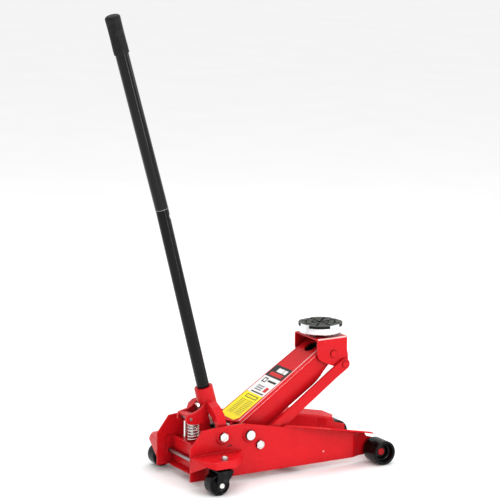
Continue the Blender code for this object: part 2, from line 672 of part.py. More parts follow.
def saddle():
    centre = at(SADDLE_X, 0, 0)
    cup = turned("saddle_cup",
                 [(0, 0.4230), (0.0640, 0.4230), (0.0642, SADDLE_RIM_Z - 0.0008), (0.0650, SADDLE_RIM_Z),
                  (0.0670, SADDLE_RIM_Z), (SADDLE_R, SADDLE_RIM_Z - 0.0010), (SADDLE_R, 0.4095),
                  (0.0660, SADDLE_BASE_Z + 0.0004), (0.0300, SADDLE_BASE_Z), (0.0200, 0.4050),
                  (0.0170, YOKE_TOP_Z + GAP), (0.0080, YOKE_TOP_Z + GAP), (0.0080, 0.3846), (0, 0.3846)],
                 centre, (0, 0, 1), sides=40)
    for index in range(4):
        turn = math.radians(90 * index - 124)
        cut(cup, sector("notch", centre, turn, NOTCH_HALF, (0.0620, 0.0800), (0.4270, 0.4450)))
    finish(cup, ZINC)
    profile = [(0, PAD_TOP_Z)]
    for radius in (0.026, 0.046):
        profile += [(radius - 0.0024, PAD_TOP_Z), (radius - 0.0020, PAD_TOP_Z - 0.0028),
                    (radius + 0.0020, PAD_TOP_Z - 0.0028), (radius + 0.0024, PAD_TOP_Z)]
    profile += [(PAD_R - 0.0015, PAD_TOP_Z), (PAD_R, PAD_TOP_Z - 0.0015), (PAD_R, 0.4233), (0, 0.4233)]
    pad = turned("saddle_pad", profile, centre, (0, 0, 1), sides=36)
    for turn, depth in ((2, 0.0034), (47, 0.0036), (92, 0.0038), (137, 0.0040)):
        slot = box("slot", (-0.08, -0.0032, PAD_TOP_Z - depth), (0.08, 0.0032, PAD_TOP_Z + 0.01), CUTTERS)
        slot.data.transform(Matrix.Translation(centre) @ Matrix.Rotation(math.radians(turn), 4, "Z"))
        cut(pad, slot)
    for index in range(4):
        turn = math.radians(90 * index - 124)
        join(pad, sector("lobe", centre, turn, NOTCH_HALF - 0.020, (0.0600, SADDLE_R + 0.0002),
                         (0.4276, PAD_TOP_Z - 0.0004)))
    finish(pad, RUBBER)
    nut = hexagon("saddle_nut", centre, 0.024, 0.3856, YOKE_TOP_Z - YOKE_T - GAP)
    cut(nut, rod("bore", at(SADDLE_X, 0, 0.37), at(SADDLE_X, 0, 0.40), 0.0083, 20, CUTTERS))
    finish(nut, STEEL)


# ---------------------------------------------------------------- power unit
def power_unit():
    housing = box("power_unit_housing", at(HOUSING_REAR, -0.046, 0.045),
                  at(HOUSING_FRONT, 0.046, HOUSING_TOP))
    shelf = box("shelf", at(0.044, -0.028, 0.1146), at(HOUSING_REAR + 0.01, 0.046, HOUSING_TOP), CUTTERS)
    bridge = box("bridge", at(0.0885, -0.014, HOUSING_TOP - 0.006), at(0.0975, 0.014, 0.1395), CUTTERS)
    block = box("valve_block", at(0.090, -0.014, 0.1290), at(0.150, 0.014, 0.1400), CUTTERS)
    boss = rod("boss", at(PLUNGER_X, 0, HOUSING_TOP - 0.002), at(PLUNGER_X, 0, 0.136), 0.0125, 24, CUTTERS)
    join(housing, shelf, bridge, block, boss)
    cut(housing, rod("bore", at(PLUNGER_X, 0, 0.099), at(PLUNGER_X, 0, 0.14), PLUNGER_R + GAP, 24, CUTTERS),
        rod("bore", at(CYLINDER_REAR - GAP, 0, RAM_Z), at(0.12, 0, RAM_Z), CYLINDER_R + GAP, ROUND, CUTTERS),
        rod("bore", at(0.0624, 0.040, 0.10), at(0.0624, 0.040, 0.13), 0.0043, 12, CUTTERS),
        rod("bore", handle_axis(0.133), handle_axis(0.150), 0.0043, 12, CUTTERS))
    finish(housing, RED)
    ahead = at(0, 0, RAM_Z)
    cylinder = turned("hydraulic_cylinder",
                      [(BORE_R, CYLINDER_FRONT), (CYLINDER_R, CYLINDER_FRONT), (CYLINDER_R, CYLINDER_REAR),
                       (0, CYLINDER_REAR), (0, 0.0835), (BORE_R, 0.0835)],
                      ahead, (1, 0, 0), sides=ROUND)
    finish(cylinder, STEEL)
    shell = turned("oil_reservoir",
                   [(RESERVOIR_R - 0.003, 0.1504), (RESERVOIR_R, 0.1504),
                    (RESERVOIR_R, HOUSING_FRONT + GAP), (RESERVOIR_R - 0.003, HOUSING_FRONT + GAP)],
                   ahead, (1, 0, 0), sides=ROUND)
    tilt = Vector((0, math.sin(math.radians(48)), math.cos(math.radians(48))))
    start = at(0.128, 0, RAM_Z)
    cut(shell, rod("bore", start + tilt * 0.03, start + tilt * 0.045, 0.0058, 16, CUTTERS))
    finish(shell, RED)
    plug = turned("filler_plug",
                  [(0, 0.0420), (0.0070, 0.0420), (0.0085, 0.0405), (0.0085, 0.0376), (0.0055, 0.0376),
                   (0.0055, 0.0320), (0, 0.0320)], start, tilt, sides=16)
    finish(plug, RUBBER)
    gland = turned("cylinder_gland",
                   [(RAM_R + GAP, GLAND_FRONT), (0.0345, GLAND_FRONT), (RESERVOIR_R, 0.1560),
                    (RESERVOIR_R, CYLINDER_FRONT + GAP), (RAM_R + GAP, CYLINDER_FRONT + GAP)],
                   ahead, (1, 0, 0), sides=ROUND)
    finish(gland, STEEL)
    ram = turned("ram",
                 [(0, 0.1990), (0.0110, 0.1990), (0.0110, 0.1940), (RAM_R, 0.1920), (RAM_R, 0.1380),
                  (BORE_R - GAP, 0.1380), (BORE_R - GAP, 0.1275), (0, 0.1275)], ahead, (1, 0, 0), sides=24)
    finish(ram, STEEL)
    x, z = DRIVE_PIN
    head = box("ram_head", at(x - 0.0150, -0.0192, RAM_Z - 0.0180), at(x + 0.0150, 0.0192, RAM_Z + 0.0180))
    wide = DRIVE_PIN_R + 0.0014
    slot = [(x + wide * math.cos(a), RAM_Z + 0.0042 + wide * math.sin(a))
            for a in [math.radians(d) for d in range(0, 181, 18)]]
    slot += [(x + wide * math.cos(a), RAM_Z - 0.0042 + wide * math.sin(a))
             for a in [math.radians(d) for d in range(180, 361, 18)]]
    cut(head, flat_outline("slot", slot, 0.06, upright(0), CUTTERS),
        box("back", at(x - 0.0160, -0.03, 0.05), at(0.1943, 0.03, 0.13), CUTTERS))
    finish(head, STEEL)


def pump():
    plunger = turned("pump_plunger",
                     [(0, CAP_TOP), (CAP_R - 0.001, CAP_TOP), (CAP_R, CAP_TOP - 0.001),
                      (CAP_R, CAP_TOP - 0.0036), (PLUNGER_R, CAP_TOP - 0.0036), (PLUNGER_R, 0.1290),
                      (0, 0.1290)], at(PLUNGER_X, 0, 0), (0, 0, 1), sides=ROUND)
    finish(plunger, ZINC)
    bottom = HOUSING_TOP + SPRING_WIRE + GAP
    top = CAP_TOP - 0.0036 - SPRING_WIRE - GAP
    body = bmesh.new()
    bmesh.ops.create_circle(body, segments=6, radius=SPRING_WIRE)
    bmesh.ops.rotate(body, verts=body.verts, matrix=Matrix.Rotation(math.radians(90), 3, "X"))
    bmesh.ops.translate(body, verts=body.verts, vec=(SPRING_R, 0, 0))
    mesh = bpy.data.meshes.new("pump_spring")
    body.to_mesh(mesh)
    body.free()
    spring = make_object("pump_spring", mesh)
    coil = spring.modifiers.new("coil", "SCREW")
    coil.angle = math.tau * SPRING_COILS
    coil.screw_offset = top - bottom
    coil.steps = 16 * SPRING_COILS
    coil.render_steps = 16 * SPRING_COILS
    bake(spring)
    body = bmesh.new()
    body.from_mesh(spring.data)
    bmesh.ops.holes_fill(body, edges=body.edges, sides=0)
    bmesh.ops.recalc_face_normals(body, faces=body.faces)
    body.to_mesh(spring.data)
    body.free()
    spring.data.transform(Matrix.Translation(at(PLUNGER_X, 0, bottom)))
    finish(spring, ZINC, 60)
    finish(rod("guide_pin", at(0.0624, 0.040, 0.1004), at(0.0624, 0.040, 0.174), 0.0040, 16), ZINC)
    x, z = ROLLER_AT
    roller = turned("pump_roller", [(0.0045, 0.0200), (ROLLER_R, 0.0200), (ROLLER_R, -0.0200),
                                    (0.0045, -0.0200)], at(x, 0, z), (0, 1, 0), sides=24)
    finish(roller, STEEL)
    finish(rod("roller_pin", at(x, -0.0285, z), at(x, 0.0285, z), 0.0042, 16), STEEL)
    x, z = NOSE_AT
    finish(rod("lever_pin", at(x, -0.0318, z), at(x, 0.0318, z), 0.0048, 16), STEEL)


# ---------------------------------------------------------------- handle
def handle_axis(z):
    """The point at height z on the line of the lower handle."""
    return at(JOINT_AT[0] + (JOINT_AT[1] - z) * math.tan(LOWER_TILT), 0, z)


LOWER_UP = Vector((-math.sin(LOWER_TILT), 0, math.cos(LOWER_TILT)))
UPPER_UP = Vector((-math.sin(UPPER_TILT), 0, math.cos(UPPER_TILT)))


def handle_socket():
    foot = handle_axis(0.2180)
    length = (0.283 - 0.2180) / math.cos(LOWER_TILT)
    socket = turned("handle_socket",
                    [(0, length), (SOCKET_R - 0.0015, length), (SOCKET_R, length - 0.002),
                     (SOCKET_R + 0.0012, 0.0), (0, 0.0)], foot, LOWER_UP, sides=36)
    arch = [(0.0965, 0.150), (0.0965, 0.190), (0.0860, 0.212), (0.0600, 0.231), (0.0300, 0.243),
            (0.0, 0.247)]
    under = [(0.0, 0.2150), (0.0380, 0.2110), (0.0680, 0.1980), (0.0845, 0.1800), (0.0845, 0.150)]
    outline = arch + [(-across, up) for across, up in reversed(arch[:-1])]
    outline += [(-across, up) for across, up in reversed(under)] + under[1:]
    turn = Matrix.Rotation(math.radians(90), 4, "Z") @ Matrix.Rotation(math.radians(90), 4, "X")
    bow = flat_outline("bow", outline, 0.030, Matrix.Translation(at(0.113, 0, 0)) @ turn, CUTTERS)
    join(socket, bow)
    x, z = SOCKET_PIVOT
    nose_x, nose_z = NOSE_AT
    cheek = arc((nose_x, nose_z), 0.016, 110, 262, 7)
    cheek += [(0.060, 0.1765), (0.085, 0.1770), (0.100, 0.1900), (0.112, 0.2250), (0.100, 0.2440),
              (0.090, 0.2330), (0.078, 0.2220), (0.062, 0.2140)]
    for side in (1, -1):
        join(socket, rod("eye", at(x, 0.0845 * side, z), at(x, 0.0965 * side, z), 0.0180, 28, CUTTERS))
        join(socket, flat_outline("cheek", cheek, 0.010, upright(0.026 * side), CUTTERS))
    join(socket, box("web", at(0.033, -0.030, 0.2010), at(0.055, 0.030, 0.2085), CUTTERS))
    top = handle_axis(0.30)
    cut(socket, rod("bore", handle_axis(0.2262), top, LOWER_R + GAP, 36, CUTTERS),
        rod("bore", handle_axis(0.205), handle_axis(0.2335), 0.0046, 14, CUTTERS),
        rod("bore", at(x, -0.12, z), at(x, 0.12, z), 0.0103, 24, CUTTERS),
        rod("bore", at(ROLLER_AT[0], -0.029, ROLLER_AT[1]), at(ROLLER_AT[0], 0.029, ROLLER_AT[1]), 0.0045,
            16, CUTTERS),
        rod("bore", at(nose_x, -0.04, nose_z), at(nose_x, 0.04, nose_z), 0.0051, 16, CUTTERS),
        rod("bore", lock_point(0.0), lock_point(0.05), 0.0053, 16, CUTTERS))
    finish(socket, RED)
    for side in (1, -1):
        name = side_name(side)
        bolt = hexagon("socket_bolt_" + name, at(x, 0, z), 0.0270, PLATE_Y + BOSS_H + GAP, 0.1200,
                       (0, side, 0))
        join(bolt, rod("shank", at(x, 0.0835 * side, z), at(x, 0.1150 * side, z), 0.0100, 24, CUTTERS))
        finish(bolt, ZINC)
    lock = hexagon("lock_bolt", lock_point(0.0), 0.0170, SOCKET_R + 0.0018, SOCKET_R + 0.0090, LOCK_OUT)
    join(lock, rod("shank", lock_point(0.0205), lock_point(SOCKET_R + 0.004), 0.0050, 16, CUTTERS))
    finish(lock, ZINC)


LOCK_OUT = Vector((-math.cos(LOWER_TILT), 0, -math.sin(LOWER_TILT)))


def lock_point(distance):
    """A point on the lock bolt's line, measured out from the handle's axis."""
    return handle_axis(0.2330) + LOCK_OUT * distance


def handle():
    start = handle_axis(0.2268)
    stop = handle_axis(0.8390)
    length = (stop - start).length
    inner = LOWER_R - TUBE_WALL
    lower = turned("handle_lower",
                   [(inner, length), (LOWER_R, length), (LOWER_R, 0), (inner, 0)], start, LOWER_UP,
                   sides=36)
    button_at = handle_axis(0.8140)
    out = Vector((math.cos(math.radians(30)), -math.sin(math.radians(30)), 0))
    out = (out - LOWER_UP * out.dot(LOWER_UP)).normalized()
    cut(lower, rod("bore", button_at, button_at + out * 0.03, 0.0053, 16, CUTTERS))
    finish(lower, BLACK_SATIN)
    joint = at(JOINT_AT[0], 0, JOINT_AT[1])
    low = joint + UPPER_UP * 0.0072
    upper = turned("handle_upper", [(0, UPPER_LENGTH), (UPPER_R, UPPER_LENGTH), (UPPER_R, 0), (0, 0)],
                   low, UPPER_UP, sides=36)
    join(upper, rod("spigot", handle_axis(0.770), handle_axis(0.850), inner - 0.0004, 28, CUTTERS))
    cut(upper, rod("bore", low + UPPER_UP * 0.020, low + UPPER_UP * 0.7, UPPER_R - TUBE_WALL, 28, CUTTERS),
        rod("bore", button_at + out * 0.004, button_at + out * 0.03, 0.0053, 16, CUTTERS))
    finish(upper, BLACK_GLOSS)
    button = turned("snap_button",
                    [(0, 0.0232), (0.0030, 0.0226), (0.0048, 0.0205), (0.0050, 0.0190), (0.0050, 0.0075),
                     (0, 0.0075)], button_at, out, sides=16)
    finish(button, ZINC)
    end = low + UPPER_UP * (UPPER_LENGTH + 0.0045)
    inside = UPPER_R + GAP
    grip = turned("handle_grip",
                  [(0, 0), (0.0150, -0.0006), (0.0205, -0.0030), (GRIP_R, -0.0075), (GRIP_R - 0.0008, -0.060),
                   (0.0226, -GRIP_LENGTH), (inside, -GRIP_LENGTH), (inside, -0.0042), (0, -0.0042)],
                  end, UPPER_UP, sides=32)
    finish(grip, RUBBER)
    finish(rod("release_rod", handle_axis(0.1660), handle_axis(0.2600), 0.0040, 16), ZINC)
    knuckle = turned("release_coupling",
                     [(0, 0.0150), (0.0060, 0.0150), (0.0085, 0.0130), (0.0085, 0.0090), (0.0070, 0.0075),
                      (0.0070, 0.0040), (0.0085, 0.0025), (0.0085, 0), (0.0040, 0), (0.0040, -0.0100),
                      (0, -0.0100)],
                     handle_axis(0.1480), LOWER_UP, sides=20)
    finish(knuckle, BLACK_SATIN)


side_plates()
caster_wings()
cross_members()
front_wheels()
caster(1)
caster(-1)
lift_arm()
saddle_yoke()
link_bars()
saddle()
power_unit()
pump()
handle_socket()
handle()
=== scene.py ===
import json
import math

import bmesh
import bpy
from mathutils import Matrix, Vector


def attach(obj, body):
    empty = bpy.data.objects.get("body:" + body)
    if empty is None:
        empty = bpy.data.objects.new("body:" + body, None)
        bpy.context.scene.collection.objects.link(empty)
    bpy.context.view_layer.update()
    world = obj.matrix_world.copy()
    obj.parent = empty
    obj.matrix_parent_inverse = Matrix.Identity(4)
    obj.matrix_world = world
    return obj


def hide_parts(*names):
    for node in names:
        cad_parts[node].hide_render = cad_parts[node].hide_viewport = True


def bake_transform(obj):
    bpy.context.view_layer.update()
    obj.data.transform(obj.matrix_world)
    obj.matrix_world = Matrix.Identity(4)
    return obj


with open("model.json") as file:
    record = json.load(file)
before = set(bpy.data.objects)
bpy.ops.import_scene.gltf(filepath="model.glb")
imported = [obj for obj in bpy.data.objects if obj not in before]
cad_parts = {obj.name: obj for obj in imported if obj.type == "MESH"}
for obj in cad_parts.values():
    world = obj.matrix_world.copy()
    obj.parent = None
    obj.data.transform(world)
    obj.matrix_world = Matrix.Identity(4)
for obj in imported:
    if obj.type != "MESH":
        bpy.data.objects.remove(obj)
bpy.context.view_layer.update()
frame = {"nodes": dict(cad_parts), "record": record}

NODES = frame["nodes"]
SHIFT = 0.23505            # world X = distance ahead of the side plates' rear edge - SHIFT


def at(x, y, z):
    """A world point; X is given ahead of the side plates' rear edge."""
    return Vector((x - SHIFT, y, z))


# ------------------------------------------------------------------ node materials
class Shader:
    """A Principled material with helpers for procedural detail."""

    def __init__(self, name, colour, roughness, metallic=0.0, coat=0.0, coat_roughness=0.08,
                 specular=0.5):
        self.material = bpy.data.materials.new(name)
        self.material.use_nodes = True
        self.tree = self.material.node_tree
        self.main = self.tree.nodes["Principled BSDF"]
        self.colour = colour
        self.main.inputs["Base Color"].default_value = (*colour, 1.0)
        self.main.inputs["Roughness"].default_value = roughness
        self.main.inputs["Metallic"].default_value = metallic
        self.main.inputs["Coat Weight"].default_value = coat
        self.main.inputs["Coat Roughness"].default_value = coat_roughness
        self.main.inputs["Specular IOR Level"].default_value = specular
        self.where = self.tree.nodes.new("ShaderNodeTexCoord").outputs["Object"]
        self.normal = None

    def node(self, kind, **values):
        made = self.tree.nodes.new(kind)
        for key, value in values.items():
            setattr(made, key, value)
        return made

    def noise(self, scale, detail=3.0, stretch=(1, 1, 1), roughness=0.55):
        place = self.node("ShaderNodeMapping")
        place.inputs["Scale"].default_value = stretch
        self.tree.links.new(self.where, place.inputs["Vector"])
        made = self.node("ShaderNodeTexNoise")
        made.inputs["Scale"].default_value = scale
        made.inputs["Detail"].default_value = detail
        made.inputs["Roughness"].default_value = roughness
        self.tree.links.new(place.outputs["Vector"], made.inputs["Vector"])
        return made.outputs["Fac"]

    def ramp(self, source, stops):
        made = self.node("ShaderNodeValToRGB")
        made.color_ramp.elements[0].position = stops[0][0]
        made.color_ramp.elements[0].color = (*stops[0][1], 1.0)
        made.color_ramp.elements[1].position = stops[-1][0]
        made.color_ramp.elements[1].color = (*stops[-1][1], 1.0)
        for place, colour in stops[1:-1]:
            made.color_ramp.elements.new(place).color = (*colour, 1.0)
        self.tree.links.new(source, made.inputs["Fac"])
        return made.outputs["Color"]

    def span(self, source, low, high, new_low, new_high):
        made = self.node("ShaderNodeMapRange")
        made.inputs["From Min"].default_value = low
        made.inputs["From Max"].default_value = high
        made.inputs["To Min"].default_value = new_low
        made.inputs["To Max"].default_value = new_high
        self.tree.links.new(source, made.inputs["Value"])
        return made.outputs["Result"]

    def mix(self, amount, first, second):
        made = self.node("ShaderNodeMix", data_type="RGBA")
        for socket, value in (("Factor", amount), ("A", first), ("B", second)):
            target = [i for i in made.inputs if i.name == socket and i.enabled][0]
            if isinstance(value, (tuple, float)):
                target.default_value = (*value, 1.0) if isinstance(value, tuple) else value
            else:
                self.tree.links.new(value, target)
        return [o for o in made.outputs if o.enabled][0]

    def bump(self, height, strength, distance):
        made = self.node("ShaderNodeBump")
        made.inputs["Strength"].default_value = strength
        made.inputs["Distance"].default_value = distance
        self.tree.links.new(height, made.inputs["Height"])
        if self.normal is not None:
            self.tree.links.new(self.normal, made.inputs["Normal"])
        self.normal = made.outputs["Normal"]

    def edges(self, radius):
        made = self.node("ShaderNodeBevel", samples=4)
        made.inputs["Radius"].default_value = radius
        self.normal = made.outputs["Normal"]

    def recess(self, reach):
        """A mask for painted shade: 1 where surfaces close in on each other."""
        made = self.node("ShaderNodeAmbientOcclusion", samples=6)
        made.inputs["Distance"].default_value = reach
        return self.span(made.outputs["AO"], 0.20, 0.85, 1.0, 0.0)

    def height(self, low, high):
        """A mask that rises from 0 to 1 between two heights."""
        split = self.node("ShaderNodeSeparateXYZ")
        self.tree.links.new(self.where, split.inputs["Vector"])
        return self.span(split.outputs["Z"], low, high, 0.0, 1.0)

    def close(self, colour=None, roughness=None):
        if colour is not None:
            self.tree.links.new(colour, self.main.inputs["Base Color"])
        if roughness is not None:
            self.tree.links.new(roughness, self.main.inputs["Roughness"])
        if self.normal is not None:
            self.tree.links.new(self.normal, self.main.inputs["Normal"])
        return self.material


def scaled(colour, factor):
    return tuple(min(1.0, value * factor) for value in colour)


def paint(name, colour, roughness, coat, edge=0.0012, dust=0.10, specular=0.13):
    """Sprayed enamel: orange peel, faint tone variation, a little dust, rubbed gloss and painted shade in
    hollows.
    """
    made = Shader(name, colour, roughness, coat=coat, coat_roughness=0.07, specular=specular)
    cloud = made.noise(9.0, 4.0)
    tone = made.ramp(cloud, [(0.30, scaled(colour, 0.90)), (0.55, colour), (0.75, scaled(colour, 1.08))])
    grime = made.span(made.noise(60.0, 6.0, roughness=0.7), 0.56, 0.78, 0.0, dust)
    tone = made.mix(grime, tone, scaled(colour, 0.55))
    # painted shade: the colour darkens where surfaces close in on each other
    tone = made.mix(made.recess(0.07), tone, scaled(colour, 0.36))
    rub = made.span(made.noise(35.0, 5.0), 0.35, 0.7, roughness * 0.85, roughness * 1.3)
    made.edges(edge)
    made.bump(made.noise(420.0, 1.5), 0.05, 0.0006)
    return made.close(tone, rub)


def metal(name, colour, roughness, grain=(1, 1, 1), scratch=0.06, tint=None, edge=0.0006):
    """Plated or machined steel: clouded plating, fine scratches."""
    made = Shader(name, colour, roughness, metallic=1.0)
    cloud = made.noise(55.0, 4.0)
    tone = made.ramp(cloud, [(0.32, scaled(colour, 0.80)), (0.52, colour),
                             (0.72, tint or scaled(colour, 1.12))])
    rub = made.span(made.noise(240.0, 4.0, grain), 0.35, 0.7, roughness * 0.75, roughness * 1.5)
    made.edges(edge)
    made.bump(made.noise(900.0, 2.0, grain), scratch, 0.0003)
    return made.close(tone, rub)


def moulded(name, colour, roughness, pebble, strength, dust=(0.12, 0.12, 0.12), amount=0.25,
            edge=0.0008, specular=0.5, crown=None):
    """Moulded rubber or plastic: fine pebble, scuffs and a trace of dust; above a given height the colour
    turns paler.
    """
    made = Shader(name, colour, roughness, specular=specular)
    scuff = made.span(made.noise(40.0, 6.0, roughness=0.7), 0.50, 0.74, 0.0, amount)
    tone = made.mix(scuff, colour, dust)
    if crown:
        level, paler_colour = crown
        tone = made.mix(made.height(level - 0.0004, level), tone, paler_colour)
    rub = made.span(made.noise(70.0, 4.0), 0.35, 0.7, roughness * 0.85, min(1.0, roughness * 1.2))
    made.edges(edge)
    made.bump(made.noise(pebble, 2.0), strength, 0.0008)
    return made.close(tone, rub)


RED = (0.60, 0.007, 0.012)
LOOKS = {
    "red_paint": paint("red_enamel", RED, 0.26, 0.04),
    "zinc_plate": metal("zinc_plating", (0.80, 0.80, 0.78), 0.24, tint=(0.88, 0.87, 0.82)),
    "bare_steel": metal("machined_steel", (0.36, 0.36, 0.36), 0.34, (1, 8, 1)),
    "black_satin": paint("satin_black_enamel", (0.003, 0.0034, 0.003), 0.20, 0.04, dust=0.2,
                         specular=0.15),
    "black_gloss": paint("gloss_black_enamel", (0.002, 0.0022, 0.002), 0.10, 0.10, dust=0.1,
                         specular=0.20),
    "rubber": moulded("grooved_rubber", (0.008, 0.0085, 0.008), 0.55, 900.0, 0.22, dust=(0.07, 0.07, 0.065),
                      specular=0.16),
    "wheel_black": moulded("wheel_nylon", (0.002, 0.002, 0.002), 0.22, 500.0, 0.05, amount=0.05,
                           specular=0.14),
    "fork_grey": moulded("charcoal_powder_coat", (0.003, 0.003, 0.0035), 0.34, 700.0, 0.10, specular=0.14),
}

# painted shade: a dark copy of the zinc for the flanks and washers of the bolts and nuts
ZINC_IN_SHADE = metal("painted_shade_zinc", (0.10, 0.10, 0.10), 0.38)
SADDLE_ZINC = metal("saddle_zinc", (0.90, 0.91, 0.93), 0.34, tint=(0.93, 0.94, 0.96))
# painted highlight: a pale pink enamel for crests and edges where light catches
HIGHLIGHT_ENAMEL = paint("painted_highlight_enamel", (0.90, 0.52, 0.50), 0.22, 0.3, dust=0.25)
# painted shade: a dark red enamel for the step on the arm's edge and the gaps round the pins
SHADE_ENAMEL = paint("painted_shade_enamel", (0.18, 0.002, 0.004), 0.35, 0.05)
# painted shade: black for the shaded inside of the arm under its hole
SHADE_BLACK = moulded("painted_shade_black", (0.004, 0.003, 0.003), 0.6, 500.0, 0.05, specular=0.05)

PAD_TOP_Z = 0.4358
SADDLE_RUBBER = moulded("saddle_rubber", (0.004, 0.004, 0.004), 0.55, 700.0, 0.25, dust=(0.05, 0.05, 0.045),
                        specular=0.16, crown=(PAD_TOP_Z - 0.0004, (0.062, 0.066, 0.058)))

slots = {entry["node"]: entry["material_slot"] for entry in frame["record"]["subparts"]}
for node_name, part in NODES.items():
    part.data.materials.clear()
    part.data.materials.append(LOOKS[slots[node_name]])
NODES["saddle_cup"].data.materials[0] = SADDLE_ZINC
NODES["saddle_pad"].data.materials[0] = SADDLE_RUBBER


# ------------------------------------------------------------------ sizes shared with the frame
ARM_PIVOT = (0.202, 0.1446)
ARM_ANGLE = math.radians(32.19)
ARM_LENGTH = 0.3805
SOCKET_PIVOT = (0.110, 0.150)
LINK_LOW = (0.239, 0.1089)
FRONT_AXLE = (0.6507, 0.0379)
PLATE_Y = 0.107
CASTER_AT = (0.050, 0.1785, 0.0336)
KINGPIN_X = 0.0765
WING_TOP_Z = 0.102
PLUNGER_X = 0.0685
LOWER_TILT = math.radians(14.11)
UPPER_TILT = math.radians(15.49)
JOINT_AT = (-0.0351, 0.833)
LOWER_UP = Vector((-math.sin(LOWER_TILT), 0, math.cos(LOWER_TILT)))
UPPER_UP = Vector((-math.sin(UPPER_TILT), 0, math.cos(UPPER_TILT)))
UPPER_LOW = at(JOINT_AT[0], 0, JOINT_AT[1]) + UPPER_UP * 0.0072    # bottom end of the upper tube
UPPER_LENGTH = 0.598
LOWER_R = 0.01935
UPPER_R = 0.0199
TUBE_WALL = 0.0018
GRIP_R = 0.0234
SOCKET_FACE_Y = 0.1123     # outer face of the socket legs, under the bolt heads
SPRING_LOW_Z = 0.118
SPRING_HIGH_Z = 0.176      # underside of the plunger's cap
SPRING_R = 0.0168
SPRING_WIRE_R = 0.0018
ARM_HALF_LOW = 0.0665      # half width of the arm at its pivot
ARM_HALF_TAPER = 0.0118
ARM_TOP_LOW = 0.029        # height of the arm's top above its centre line, at its pivot
ARM_TOP_RISE = 0.0052
HOLE_AT = 0.355            # the hole in the arm's top, along the arm
YOKE_PIN_AT = (0.52401, 0.34730)
LINK_PIN_AT = (0.56101, 0.31160)
RIVET_AT = (0.466, 0.0545)
SIDES = {"left": 1, "right": -1}


def handle_axis(z):
    """The point of the lower tube's axis at a height."""
    return at(JOINT_AT[0] + (JOINT_AT[1] - z) * math.tan(LOWER_TILT), 0, z)


def arm_half(s):
    """Half the arm's width, a distance s along it from its pivot."""
    return ARM_HALF_LOW - ARM_HALF_TAPER * s / ARM_LENGTH


def arm_top(s):
    """Height of the arm's top face above the line between its pivots."""
    return ARM_TOP_LOW + ARM_TOP_RISE * s / ARM_LENGTH


def on_arm(s, y, t):
    """A world point: s along the arm, y across, t above the line between its pivots."""
    return at(ARM_PIVOT[0] + s * math.cos(ARM_ANGLE) - t * math.sin(ARM_ANGLE), y,
              ARM_PIVOT[1] + s * math.sin(ARM_ANGLE) + t * math.cos(ARM_ANGLE))


# ------------------------------------------------------------------ making pieces
def placed(name, body_mesh, look, body, replaces=(), smooth=35, matrix=None, others=()):
    """Turn a bmesh into a piece that rides on a body."""
    bmesh.ops.recalc_face_normals(body_mesh, faces=body_mesh.faces)
    mesh = bpy.data.meshes.new(name)
    body_mesh.to_mesh(mesh)
    body_mesh.free()
    mesh.shade_smooth()
    mesh.set_sharp_from_angle(angle=math.radians(smooth))
    for finish in (look, *others):
        mesh.materials.append(finish)
    made = bpy.data.objects.new(name, mesh)
    bpy.context.scene.collection.objects.link(made)
    if matrix is not None:
        made.matrix_world = matrix
    if body:
        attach(made, body)
    if replaces:
        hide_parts(*replaces)
    return made


def standing(origin, direction):
    """A matrix whose Z axis points along a direction, at an origin."""
    return Matrix.Translation(origin) @ Vector(direction).to_track_quat("Z", "Y").to_matrix().to_4x4()


def softened(profile, radius, steps=3):
    """Round each corner of a closed profile, by at most a third of its shorter neighbour."""
    points = [Vector(point) for point in profile]
    result = []
    for index, corner in enumerate(points):
        before = points[index - 1] - corner
        after = points[(index + 1) % len(points)] - corner
        reach = min(radius, before.length / 3, after.length / 3)
        first = corner + before.normalized() * reach
        last = corner + after.normalized() * reach
        for step in range(steps + 1):
            share = step / steps
            result.append(first * (1 - share) ** 2 + corner * 2 * share * (1 - share) + last * share ** 2)
    return result


def add_turned(body_mesh, profile, sides, matrix=Matrix.Identity(4), finish=0):
    """Revolve a closed (radius, height) profile about Z."""
    rings = []
    for radius, height in profile:
        if radius < 0.00001:
            rings.append([body_mesh.verts.new(matrix @ Vector((0, 0, height)))])
            continue
        ring = []
        for step in range(sides):
            turn = math.tau * step / sides
            spot = Vector((radius * math.cos(turn), radius * math.sin(turn), height))
            ring.append(body_mesh.verts.new(matrix @ spot))
        rings.append(ring)
    for first, second in zip(rings, rings[1:] + rings[:1]):
        if len(first) == 1 and len(second) == 1:
            continue
        for step in range(sides):
            after = (step + 1) % sides
            if len(first) == 1:
                corners = (first[0], second[step], second[after])
            elif len(second) == 1:
                corners = (first[step], second[0], first[after])
            else:
                corners = (first[step], second[step], second[after], first[after])
            body_mesh.faces.new(corners).material_index = finish


def add_hex(body_mesh, across, bottom, top, bore=0.0, sides=48):
    """A hexagon with its outer corners chamfered to a cone, as a forged nut or bolt head has."""
    flat = across / 2 * 0.97
    slope = 0.45
    rings = [[], [], [], []]
    for step in range(sides):
        turn = math.tau * step / sides
        wedge = (turn + math.radians(30)) % math.radians(60) - math.radians(30)
        reach = across / 2 / math.cos(wedge)
        unit = Vector((math.cos(turn), math.sin(turn), 0))
        rings[0].append(unit * bore + Vector((0, 0, bottom)))
        rings[1].append(unit * reach + Vector((0, 0, bottom)))
        rings[2].append(unit * reach + Vector((0, 0, top - max(0.0, reach - flat) * slope - 0.0002)))
        rings[3].append(unit * (flat - 0.0004) + Vector((0, 0, top)))
    if bore:
        rings.append([Vector((spot.x, spot.y, top)) for spot in rings[0]])
    made = [[body_mesh.verts.new(spot) for spot in ring] for ring in rings[0 if bore else 1:]]
    pairs = list(zip(made, made[1:]))
    flank = 1 if bore else 0
    if bore:
        pairs.append((made[-1], made[0]))
    else:
        body_mesh.faces.new(made[0])
        body_mesh.faces.new(made[-1])
    for index, (first, second) in enumerate(pairs):
        for step in range(sides):
            after = (step + 1) % sides
            face = body_mesh.faces.new((first[step], second[step], second[after], first[after]))
            # the flanks take the second finish, which on the socket bolts and link nuts is painted shade
            face.material_index = 1 if index == flank else 0


